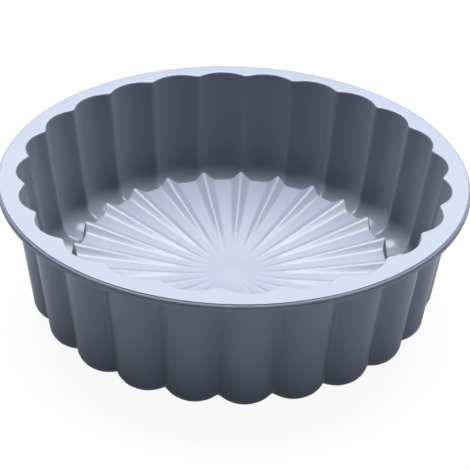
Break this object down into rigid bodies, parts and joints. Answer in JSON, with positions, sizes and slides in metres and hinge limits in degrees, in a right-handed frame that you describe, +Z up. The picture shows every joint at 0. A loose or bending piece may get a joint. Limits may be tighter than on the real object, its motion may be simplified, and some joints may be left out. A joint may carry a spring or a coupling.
{
  "type": "silicone flower cake mould",
  "caption": "Round fluted silicone cake mould with a flat beaded rim over a wire hoop, and a raised floor pleated into a star inside a moat.",
  "frame": {"origin": "on the mould's axis, in the plane that it stands on", "axes": "+Z up along the axis, out of the open top; +X and +Y each through a cusp between two flutes"},
  "size_m": [0.22, 0.22, 0.0665],
  "materials": {
    "silicone": "satin",
    "hoop_steel": "drawn"
  },
  "bodies": {
    "root": {"mould_body": "silicone", "rim_hoop": "hoop_steel"}
  },
  "joints": []
}
